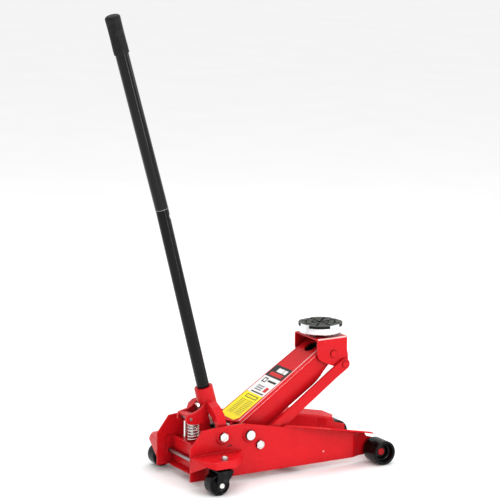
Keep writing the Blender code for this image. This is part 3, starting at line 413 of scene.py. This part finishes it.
def add_tube(body_mesh, path, radius_at, sides=12):
    """A round tube along a list of points, whose radius may vary."""
    rings = []
    for index, spot in enumerate(path):
        before = path[max(index - 1, 0)]
        after = path[min(index + 1, len(path) - 1)]
        turn = standing(spot, after - before)
        radius = radius_at(index)
        rings.append([body_mesh.verts.new(turn @ Vector((radius * math.cos(math.tau * k / sides),
                                                         radius * math.sin(math.tau * k / sides), 0)))
                      for k in range(sides)])
    for first, second in zip(rings, rings[1:]):
        for step in range(sides):
            after = (step + 1) % sides
            body_mesh.faces.new((first[step], second[step], second[after], first[after]))
    body_mesh.faces.new(rings[0])
    body_mesh.faces.new(rings[-1])


# ------------------------------------------------------------------ handle
def handle():
    """Two steel tubes: a spigot on the upper one goes into the lower one."""
    low_end, high_end = 0.2268, 0.8390
    start = handle_axis(low_end)
    length = (handle_axis(high_end) - start).length
    inner = LOWER_R - TUBE_WALL
    body = bmesh.new()
    add_turned(body, softened([(inner, length), (LOWER_R, length), (LOWER_R, 0), (inner, 0)], 0.0006), 72)
    placed("handle_tube_lower", body, LOOKS["black_satin"], "handle", ["handle_lower"],
           matrix=standing(start, LOWER_UP))
    inner = UPPER_R - TUBE_WALL
    socket_end = 0.02
    outline = softened([(UPPER_R, UPPER_LENGTH), (UPPER_R, 0), (inner, 0)], 0.0009)
    body = bmesh.new()
    add_turned(body, [(0, UPPER_LENGTH)] + outline + [(inner, socket_end), (0, socket_end)], 72)
    spigot_low, spigot_high = handle_axis(0.770), handle_axis(0.860)
    spigot = standing(UPPER_LOW, UPPER_UP).inverted() @ standing(spigot_low, LOWER_UP)
    tail = (spigot_high - spigot_low).length
    bore = LOWER_R - TUBE_WALL - 0.0004
    add_turned(body, softened([(0, 0), (bore, 0), (bore, tail), (0, tail)], 0.001), 40, spigot)
    placed("handle_tube_upper", body, LOOKS["black_gloss"], "handle", ["handle_upper"],
           matrix=standing(UPPER_LOW, UPPER_UP))
    body = bmesh.new()
    add_turned(body, softened([(UPPER_R - 0.0004, 0.0016), (UPPER_R + 0.0003, 0.0016),
                               (UPPER_R + 0.0003, 0.0004), (UPPER_R - 0.0012, -0.0004)], 0.0003), 72)
    placed("handle_joint_edge", body, LOOKS["bare_steel"], "handle",
           matrix=standing(UPPER_LOW, UPPER_UP))
    button_seat()
    grip()


def button_seat():
    """The bright punched rim round the snap button, on the lower tube."""
    turn = math.radians(-30)
    out = Vector((math.cos(turn), math.sin(turn), 0))
    out = (out - LOWER_UP * out.dot(LOWER_UP)).normalized()
    body = bmesh.new()
    add_turned(body, softened([(0.0056, 0.0186), (0.0080, 0.0180), (0.0076, 0.0200), (0.0062, 0.0206),
                               (0.0056, 0.0204)], 0.0003), 40)
    placed("snap_button_seat", body, LOOKS["zinc_plate"], "handle",
           matrix=standing(handle_axis(0.8140), out))


def grip():
    """Rubber sleeve: a domed end, a bead at its mouth and shallow ribs round it."""
    end = UPPER_LOW + UPPER_UP * (UPPER_LENGTH + 0.0045)
    length = 0.117
    inside = UPPER_R + 0.0003
    dome = [(0.0120, -0.0004), (0.0148, -0.0010), (0.0172, -0.0018), (0.0190, -0.0028),
            (0.0204, -0.0038), (0.0215, -0.0050), (0.0224, -0.0066), (0.0229, -0.0084)]
    outer = []
    ribs = 26
    for step in range(ribs * 4 + 1):
        share = step / (ribs * 4)
        depth = 0.00022 * (1 - math.cos(math.tau * share * ribs))
        height = -0.0100 - share * 0.0960
        outer.append((GRIP_R - 0.0003 - 0.0006 * math.sin(math.pi * share) - depth, height))
    mouth = [(0.0224, -0.1080), (0.0228, -0.1105), (0.0228, -0.1145), (0.0222, -length),
             (inside, -length), (inside, -0.0042), (0, -0.0042)]
    body = bmesh.new()
    add_turned(body, [(0, -0.0002)] + dome + outer + mouth, 64)
    bmesh.ops.transform(body, matrix=standing(end, UPPER_UP), verts=body.verts)
    placed("grip_sleeve", body, LOOKS["rubber"], "handle", ["handle_grip"], smooth=50)


# ------------------------------------------------------------------ fasteners
def socket_bolt(side, out):
    """A hex head on a washer, with a shank through the side plate; the head's flanks and the washer are in
    painted shade.
    """
    face = SOCKET_FACE_Y
    body = bmesh.new()
    add_hex(body, 0.0262, face + 0.0015, 0.1200)
    washer = [(0, face), (0.0128, face), (0.0128, face + 0.0017), (0, face + 0.0017)]
    add_turned(body, softened(washer, 0.0004), 40, finish=1)
    shank = [(0, 0.0835), (0.0100, 0.0835), (0.0100, face + 0.0002), (0, face + 0.0002)]
    add_turned(body, softened(shank, 0.0006), 32)
    placed("socket_pivot_bolt_" + side, body, LOOKS["zinc_plate"], "socket",
           ["socket_bolt_" + side], matrix=standing(at(SOCKET_PIVOT[0], 0, SOCKET_PIVOT[1]), out),
           others=[ZINC_IN_SHADE])


def shaft_shade_ring(side, out):
    """A ring of painted shade on the flank of the arm shaft's round end."""
    face = SOCKET_FACE_Y
    body = bmesh.new()
    ring = [(0.0146, face), (0.0156, face), (0.0152, 0.1188), (0.0146, 0.1188)]
    add_turned(body, softened(ring, 0.0003), 48)
    placed("arm_shaft_shade_ring_" + side, body, ZINC_IN_SHADE, "chassis",
           matrix=standing(at(ARM_PIVOT[0], 0, ARM_PIVOT[1]), out))


def link_nut(side, out):
    washer_top = PLATE_Y + 0.0020
    body = bmesh.new()
    # the nut's flanks and its washer are in painted shade
    add_hex(body, 0.0240, PLATE_Y + 0.0018, 0.1148, bore=0.0093)
    washer = [(0.0094, PLATE_Y + 0.0003), (0.0122, PLATE_Y + 0.0003), (0.0122, washer_top),
              (0.0094, washer_top)]
    add_turned(body, softened(washer, 0.0003), 40, finish=1)
    placed("link_pivot_nut_" + side, body, LOOKS["zinc_plate"], "chassis",
           ["link_nut_" + side], matrix=standing(at(LINK_LOW[0], 0, LINK_LOW[1]), out),
           others=[ZINC_IN_SHADE])


def kingpin_nut(side, way):
    low = WING_TOP_Z + 0.0003
    high = low + 0.0016
    body = bmesh.new()
    add_hex(body, 0.0186, high, 0.1113, bore=0.0063)
    washer = [(0.0064, low), (0.0094, low), (0.0094, high), (0.0064, high)]
    add_turned(body, softened(washer, 0.0003), 40, finish=1)
    placed("kingpin_top_nut_" + side, body, LOOKS["zinc_plate"], "chassis",
           ["kingpin_nut_" + side], matrix=Matrix.Translation(at(KINGPIN_X, CASTER_AT[1] * way, 0)),
           others=[LOOKS["bare_steel"]])


def axle_washer(side, out):
    body = bmesh.new()
    ring = [(0.0113, 0.1441), (0.0168, 0.1441), (0.0168, 0.1472), (0.0113, 0.1472)]
    add_turned(body, softened(ring, 0.0005), 48)
    placed("front_axle_washer_" + side, body, LOOKS["fork_grey"], "chassis",
           matrix=standing(at(FRONT_AXLE[0], 0, FRONT_AXLE[1]), out))


def caster_rivet(side, way, out):
    """The caster's axle: a domed head outside, a flat one inside."""
    head, shank, fork = 0.0084, 0.0061, 0.0293
    profile = [(0.0062, 0.0345), (0.0079, 0.0332), (head, 0.0312), (head, fork), (shank, fork),
               (shank, -fork), (head, -fork), (head, -0.0330)]
    body = bmesh.new()
    add_turned(body, softened(profile, 0.0005) + [(0, -0.0330), (0, 0.0349)], 32)
    placed("caster_rivet_" + side, body, LOOKS["zinc_plate"], "caster_" + side,
           ["caster_axle_" + side],
           matrix=standing(at(CASTER_AT[0], CASTER_AT[1] * way, CASTER_AT[2]), out))


def fasteners():
    for side, way in SIDES.items():
        out = (0, way, 0)
        socket_bolt(side, out)
        shaft_shade_ring(side, out)
        link_nut(side, out)
        kingpin_nut(side, way)
        axle_washer(side, out)
        caster_rivet(side, way, out)


# ------------------------------------------------------------------ wheels
def wheels():
    """Two wide front rollers with a recessed outer face, and two caster wheels with a dished web."""
    tread = 0.0379
    roller = [(0.0115, 0.1440), (0.0185, 0.1440), (0.0198, 0.1455), (0.0215, 0.1545),
              (0.0262, 0.1560), (0.0285, 0.1700), (0.0306, 0.1726), (0.0335, 0.1734),
              (0.0362, 0.1724), (tread, 0.1692), (tread, 0.1071), (0.0362, 0.1041),
              (0.0335, 0.1029), (0.0115, 0.1029)]
    half = [(0.0064, 0.0225), (0.0130, 0.0225), (0.0150, 0.0195), (0.0240, 0.0180),
            (0.0262, 0.0205), (0.0290, 0.0220), (0.0318, 0.0208), (0.0336, 0.0170)]
    caster = half + [(radius, -height) for radius, height in reversed(half)]
    for side, way in SIDES.items():
        body = bmesh.new()
        add_turned(body, softened(roller, 0.0016, 4), 80)
        placed("front_roller_tyre_" + side, body, LOOKS["wheel_black"],
               "front_roller_" + side, ["front_wheel_" + side],
               matrix=standing(at(FRONT_AXLE[0], 0, FRONT_AXLE[1]), (0, way, 0)))
        body = bmesh.new()
        add_turned(body, softened(caster, 0.0016, 4), 72)
        placed("caster_tyre_" + side, body, LOOKS["wheel_black"], "caster_roller_" + side,
               ["caster_wheel_" + side],
               matrix=standing(at(CASTER_AT[0], CASTER_AT[1] * way, CASTER_AT[2]), (0, way, 0)))


# ------------------------------------------------------------------ pump spring
def pump_spring():
    """The return coil, drawn at one length; the real one shortens as the plunger goes down."""
    end_gap = SPRING_WIRE_R + 0.0003
    bottom = SPRING_LOW_Z + end_gap
    top = SPRING_HIGH_Z - end_gap
    coils = 6
    steps = 36 * coils
    path = []
    for step in range(steps + 1):
        share = step / steps
        turn = math.tau * coils * share
        rise = bottom + (top - bottom) * share
        path.append(at(PLUNGER_X + SPRING_R * math.cos(turn), SPRING_R * math.sin(turn), rise))
    body = bmesh.new()
    add_tube(body, path, lambda index: SPRING_WIRE_R)
    coil = placed("pump_return_coil", body, LOOKS["zinc_plate"], None, ["pump_spring"], 60)
    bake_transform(coil)


# ------------------------------------------------------------------ lift arm trim
def arm_edges():
    """The pressed step and rolled edge along each upper corner, with painted highlights on its crests and,
    on the right, painted shade in the step.

    Only the right edge has the pressed step, because only that one can be seen clearly in the photo.
    """
    crest, groove = 1, 2
    steps = 24
    start, length = 0.012, 0.363
    roll = 0.0070
    for side, way in SIDES.items():
        body = bmesh.new()
        rings = []
        for step in range(steps + 1):
            s = start + length * step / steps
            half = arm_half(s)
            top = arm_top(s)
            shape = [(half - 0.0140, top - 0.0020), (half - 0.0140, top + 0.0001),
                     (half - 0.0132, top + 0.0009), (half - 0.0118, top + 0.0009),
                     (half - 0.0108, top - 0.0001), (half - 0.0090, top - 0.0001),
                     (half - 0.0078, top + 0.0006)]
            if side == "left":
                shape = [(half - 0.0078, top - 0.0020), (half - 0.0078, top + 0.0006)]
            for turn in range(0, 91, 10):
                angle = math.radians(90 - turn)
                shape.append((half - roll + (roll + 0.0007) * math.cos(angle),
                              top - roll + (roll + 0.0007) * math.sin(angle)))
            shape += [(half + 0.0007, top - 0.0095), (half + 0.0001, top - 0.0108),
                      (half - 0.0020, top - 0.0108)]
            rings.append([body.verts.new(on_arm(s, y * way, t)) for y, t in shape])
        # painted highlight on the crest faces; painted shade in the right edge's step
        finishes = {4: crest}
        if side == "right":
            finishes = {1: crest, 2: crest, 3: crest, 4: groove, 5: groove, 12: crest, 13: crest}
        for first, second in zip(rings, rings[1:]):
            for index in range(len(first)):
                after = (index + 1) % len(first)
                face = body.faces.new((first[index], second[index], second[after], first[after]))
                face.material_index = finishes.get(index, 0)
        body.faces.new(rings[0])
        body.faces.new(rings[-1])
        placed("arm_rolled_edge_" + side, body, LOOKS["red_paint"], "lift_arm", smooth=50,
               others=[HIGHLIGHT_ENAMEL, SHADE_ENAMEL])


def shade_under_arm_hole():
    """Painted shade: a black sheet and a black ring inside the arm below the hole in its top."""
    outline = [(0.328, -0.040), (0.380, -0.040), (0.380, 0.040), (0.328, 0.040)]
    floor_top, rim = 0.0180, 0.0275
    outer, inner = 0.0233, 0.0223
    body = bmesh.new()
    top = [body.verts.new(on_arm(s, y, floor_top)) for s, y in outline]
    bottom = [body.verts.new(on_arm(s, y, floor_top - 0.0010)) for s, y in outline]
    body.faces.new(top)
    body.faces.new(bottom)
    for index in range(4):
        after = (index + 1) % 4
        body.faces.new((bottom[index], bottom[after], top[after], top[index]))
    wall = []
    steps = 48
    for radius, level in ((outer, rim), (outer, floor_top), (inner, floor_top), (inner, rim)):
        wall.append([body.verts.new(on_arm(HOLE_AT + radius * math.cos(math.tau * k / steps),
                                           radius * math.sin(math.tau * k / steps), level))
                     for k in range(steps)])
    for first, second in zip(wall, wall[1:] + wall[:1]):
        for step in range(steps):
            after = (step + 1) % steps
            body.faces.new((first[step], second[step], second[after], first[after]))
    placed("arm_hole_shade_sheet", body, SHADE_BLACK, "lift_arm")


def yoke_fold_highlights():
    """Painted highlights along the two folds of the yoke."""
    centre_y, centre_z, radius = 0.0595, 0.3905, 0.0083
    thickness = 0.0010
    rear, front = 0.4690, 0.5700
    for side, way in SIDES.items():
        body = bmesh.new()
        rings = []
        for x in (rear, front):
            shape = []
            for turn in range(28, 69, 5):
                angle = math.radians(turn)
                shape.append((centre_y + radius * math.cos(angle), centre_z + radius * math.sin(angle)))
            for turn in range(68, 27, -5):
                angle = math.radians(turn)
                inner = radius - thickness
                shape.append((centre_y + inner * math.cos(angle), centre_z + inner * math.sin(angle)))
            rings.append([body.verts.new(at(x, y * way, z)) for y, z in shape])
        for index in range(len(rings[0])):
            after = (index + 1) % len(rings[0])
            body.faces.new((rings[0][index], rings[1][index], rings[1][after], rings[0][after]))
        body.faces.new(rings[0])
        body.faces.new(rings[1])
        placed("yoke_fold_highlight_" + side, body, HIGHLIGHT_ENAMEL, "yoke", smooth=50)


class Decal(Shader):
    """A printed vinyl label: flat colour fields laid out in the label's own coordinates."""

    def __init__(self, name, ground):
        super().__init__(name, ground, 0.34, coat=0.05, coat_roughness=0.12, specular=0.2)
        self.tone = ground
        split = self.node("ShaderNodeSeparateXYZ")
        self.tree.links.new(self.where, split.inputs["Vector"])
        self.along = split.outputs["X"]
        self.across = split.outputs["Y"]

    def math(self, operation, first, second):
        made = self.node("ShaderNodeMath", operation=operation)
        for index, value in enumerate((first, second)):
            if isinstance(value, (int, float)):
                made.inputs[index].default_value = value
            else:
                self.tree.links.new(value, made.inputs[index])
        return made.outputs["Value"]

    def between(self, value, low, high):
        return self.math("MULTIPLY", self.math("GREATER_THAN", value, low),
                         self.math("LESS_THAN", value, high))

    def field(self, colour, along, across, rule=None):
        """Print a rectangle; a rule (pitch, share) breaks it into lines along the label."""
        mask = self.math("MULTIPLY", self.between(self.along, *along), self.between(self.across, *across))
        if rule:
            phase = self.math("FRACT", self.math("DIVIDE", self.along, rule[0]), 0.0)
            mask = self.math("MULTIPLY", mask, self.math("LESS_THAN", phase, rule[1]))
        self.tone = self.mix(mask, self.tone, colour)

    def printed(self):
        fade = self.span(self.noise(120.0, 4.0), 0.45, 0.75, 0.0, 0.10)
        self.tone = self.mix(fade, self.tone, (0.30, 0.28, 0.25))
        self.bump(self.noise(300.0, 1.0), 0.03, 0.0003)
        return self.close(self.tone, self.span(self.noise(60.0), 0.3, 0.7, 0.26, 0.42))


def far(s):
    """The far edge of the labels, beside the arm's fold."""
    return arm_half(s) - 0.0072


def label(name, outline, look):
    """A thin label on the arm's top; its X runs along the arm and its Y across."""
    thickness = 0.0010
    slope = math.atan2(ARM_TOP_RISE, ARM_LENGTH)
    along = Vector((math.cos(ARM_ANGLE + slope), 0, math.sin(ARM_ANGLE + slope)))
    up = Vector((-along.z, 0, along.x))
    spot = on_arm(0, 0, arm_top(0)) + up * 0.0002
    side = Vector((0, 1, 0))
    frame_matrix = Matrix(((along.x, side.x, up.x, spot.x), (along.y, side.y, up.y, spot.y),
                           (along.z, side.z, up.z, spot.z), (0, 0, 0, 1)))
    body = bmesh.new()
    bottom = [body.verts.new((s, y, -thickness)) for s, y in outline]
    top = [body.verts.new((s, y, 0)) for s, y in outline]
    body.faces.new(top)
    body.faces.new(bottom)
    for index in range(len(outline)):
        after = (index + 1) % len(outline)
        body.faces.new((bottom[index], bottom[after], top[after], top[index]))
    placed(name, body, look, "lift_arm", matrix=frame_matrix)


def pin_shade_rings():
    """Rings of painted shade round the pins through the yoke and the links."""
    pins = (("yoke_pin", YOKE_PIN_AT, 0.0110, 0.0676), ("link_pin", LINK_PIN_AT, 0.0100, 0.0766))
    for name, (x, z), radius, face in pins:
        for side, way in SIDES.items():
            body = bmesh.new()
            ring_outline = [(radius + 0.0003, face), (radius + 0.0016, face), (radius + 0.0012, face + 0.0006),
                    (radius + 0.0003, face + 0.0009)]
            add_turned(body, softened(ring_outline, 0.0002), 40)
            placed(name + "_shade_ring_" + side, body, SHADE_ENAMEL, "yoke",
                   matrix=standing(at(x, 0, z), (0, way, 0)))


def plate_rivets():
    """A small pressed rivet in each side plate ahead of the lift arm, coloured as a painted highlight."""
    for side, way in SIDES.items():
        body = bmesh.new()
        dome = [(0, 0.0014), (0.0012, 0.0013), (0.0022, 0.0009), (0.0028, 0.0002), (0.0028, -0.0005),
                (0, -0.0005)]
        add_turned(body, dome, 24)
        place = at(RIVET_AT[0], (PLATE_Y + 0.0002) * way, RIVET_AT[1])
        placed("plate_rivet_" + side, body, HIGHLIGHT_ENAMEL, "chassis",
               matrix=standing(place, (0, way, 0)))


def labels():
    """Plain colour panels stand where the printed labels were, with ruled bars and no lettering."""
    near = -0.042
    dark = (0.012, 0.012, 0.012)
    white = (0.80, 0.80, 0.79)
    red = (0.55, 0.012, 0.012)
    yellow = (0.90, 0.76, 0.004)
    brown = (0.10, 0.085, 0.010)

    start, end = 0.1962, 0.247
    black_panel = Decal("label_black", dark)
    black_panel.field(white, (0.222, 0.238), (-0.030, 0.022))
    black_panel.field(dark, (0.222, 0.238), (-0.014, -0.011))
    black_panel.field(red, (0.203, 0.217), (-0.030, 0.040))
    label("label_black_panel", [(start, near), (start, far(start)), (end, far(end)), (end, near)],
          black_panel.printed())

    start, end = 0.1200, 0.1958
    white_panel = Decal("label_white", white)
    white_panel.field(dark, (0.170, 0.190), (0.018, 0.040))
    white_panel.field(white, (0.174, 0.186), (0.023, 0.035))
    white_panel.field(dark, (0.176, 0.184), (-0.034, 0.012))
    white_panel.field((0.20, 0.20, 0.21), (0.134, 0.158), (-0.004, 0.034), rule=(0.008, 0.62))
    white_panel.field(red, (0.136, 0.156), (-0.032, -0.014))
    white_panel.field(dark, (0.124, 0.129), (-0.034, 0.036))
    label("label_white_panel", [(start, near), (start, far(start)), (end, far(end)), (end, near)],
          white_panel.printed())

    start, corner, end = 0.0070, 0.0210, 0.1196
    yellow_panel = Decal("label_yellow", yellow)
    yellow_panel.field(dark, (0.098, 0.112), (-0.028, 0.036))
    yellow_panel.field(yellow, (0.101, 0.109), (-0.024, 0.032))
    yellow_panel.field(brown, (0.026, 0.092), (-0.032, 0.004), rule=(0.0062, 0.34))
    yellow_panel.field(brown, (0.026, 0.092), (0.010, 0.040), rule=(0.0062, 0.34))
    label("label_yellow_panel", [(start, -0.028), (start, 0.040), (corner, far(corner)),
                                 (end, far(end)), (end, near), (corner, near)],
          yellow_panel.printed())


# ------------------------------------------------------------------ welds
def weld(name, path, radius, body_name):
    """A laid bead: scalloped ripples along a joint."""
    points = []
    for first, second in zip(path, path[1:]):
        steps = max(2, int((second - first).length / 0.0009))
        points += [first.lerp(second, step / steps) for step in range(steps)]
    points.append(path[-1])
    body = bmesh.new()
    add_tube(body, points, lambda index: radius * (0.86 + 0.14 * abs(math.sin(index * 0.75))), 10)
    placed(name, body, LOOKS["red_paint"], body_name, smooth=60)


def welds():
    """The bead where each rear wing meets its side plate."""
    for side, way in SIDES.items():
        edge = (PLATE_Y + 0.0006) * way
        level = WING_TOP_Z + 0.0002
        weld("wing_weld_" + side, [at(0.008, edge, level), at(0.170, edge, level)], 0.0019, "chassis")


handle()
fasteners()
wheels()
pump_spring()
arm_edges()
shade_under_arm_hole()
yoke_fold_highlights()
pin_shade_rings()
plate_rivets()
labels()
welds()


# ------------------------------------------------------------------ camera, floor and light
def camera():
    """The camera that was fitted to the photograph."""
    turn = math.radians(-30.2953)
    lift = math.radians(11.651)
    roll = math.radians(0.264)
    focal_share = 2502.16 / 500          # focal length over the picture's width
    back = Vector((math.sin(turn) * math.cos(lift), -math.cos(turn) * math.cos(lift), math.sin(lift)))
    right = Vector((math.cos(turn), math.sin(turn), 0))
    up = back.cross(right)
    right, up = (right * math.cos(roll) + up * math.sin(roll),
                 up * math.cos(roll) - right * math.sin(roll))
    stand = at(-3.4649, -6.3832, 2.2110)
    lens = bpy.data.cameras.new("camera")
    lens.sensor_width = 36.0
    lens.lens = focal_share * lens.sensor_width
    lens.clip_end = 60.0
    made = bpy.data.objects.new("camera", lens)
    made.matrix_world = Matrix(((right.x, up.x, back.x, stand.x), (right.y, up.y, back.y, stand.y),
                                (right.z, up.z, back.z, stand.z), (0, 0, 0, 1)))
    bpy.context.scene.collection.objects.link(made)
    bpy.context.scene.camera = made


def floor():
    """A plain pale sheet, just under the wheels."""
    reach = 60.0
    drop = 0.0004
    sheet = bmesh.new()
    bmesh.ops.create_grid(sheet, x_segments=2, y_segments=2, size=reach)
    mesh = bpy.data.meshes.new("floor")
    sheet.to_mesh(mesh)
    sheet.free()
    made = bpy.data.objects.new("floor", mesh)
    made.location = (0, 0, -drop)
    bpy.context.scene.collection.objects.link(made)
    look = Shader("floor_paper", (0.96, 0.96, 0.96), 0.9, specular=0.0)
    tone = look.ramp(look.noise(3.0), [(0.3, (0.95, 0.95, 0.95)), (0.7, (0.97, 0.97, 0.97))])
    made.data.materials.append(look.close(tone))


def lamp(name, place, target, size, power):
    """A white rectangular area light, aimed at a point."""
    light = bpy.data.lights.new(name, "AREA")
    light.shape = "RECTANGLE"
    light.size = size[0]
    light.size_y = size[1]
    light.energy = power
    made = bpy.data.objects.new(name, light)
    made.location = place
    aim = Vector(target) - Vector(place)
    made.rotation_euler = aim.to_track_quat("-Z", "Y").to_euler()
    bpy.context.scene.collection.objects.link(made)


def lights():
    """Even white surroundings, broad soft lamps, and a narrow strip for the tubes' highlight."""
    bpy.context.scene.view_settings.view_transform = "Standard"
    world = bpy.data.worlds.new("studio")
    bpy.context.scene.world = world
    world.use_nodes = True
    world.node_tree.nodes["Background"].inputs["Color"].default_value = (1, 1, 1, 1)
    world.node_tree.nodes["Background"].inputs["Strength"].default_value = 0.94
    lamp("key", (-1.6, -2.6, 3.4), (0, 0, 0.3), (2.2, 2.2), 27)
    lamp("side", (3.2, -1.2, 1.8), (0, 0, 0.3), (1.6, 2.2), 14)
    lamp("strip", (0.6, -2.7, 1.6), (-0.25, 0, 1.6), (0.30, 3.1), 26)
    lamp("top", (0.4, 0.8, 4.0), (0, 0, 0.2), (3.0, 3.0), 52)


camera()
floor()
lights()
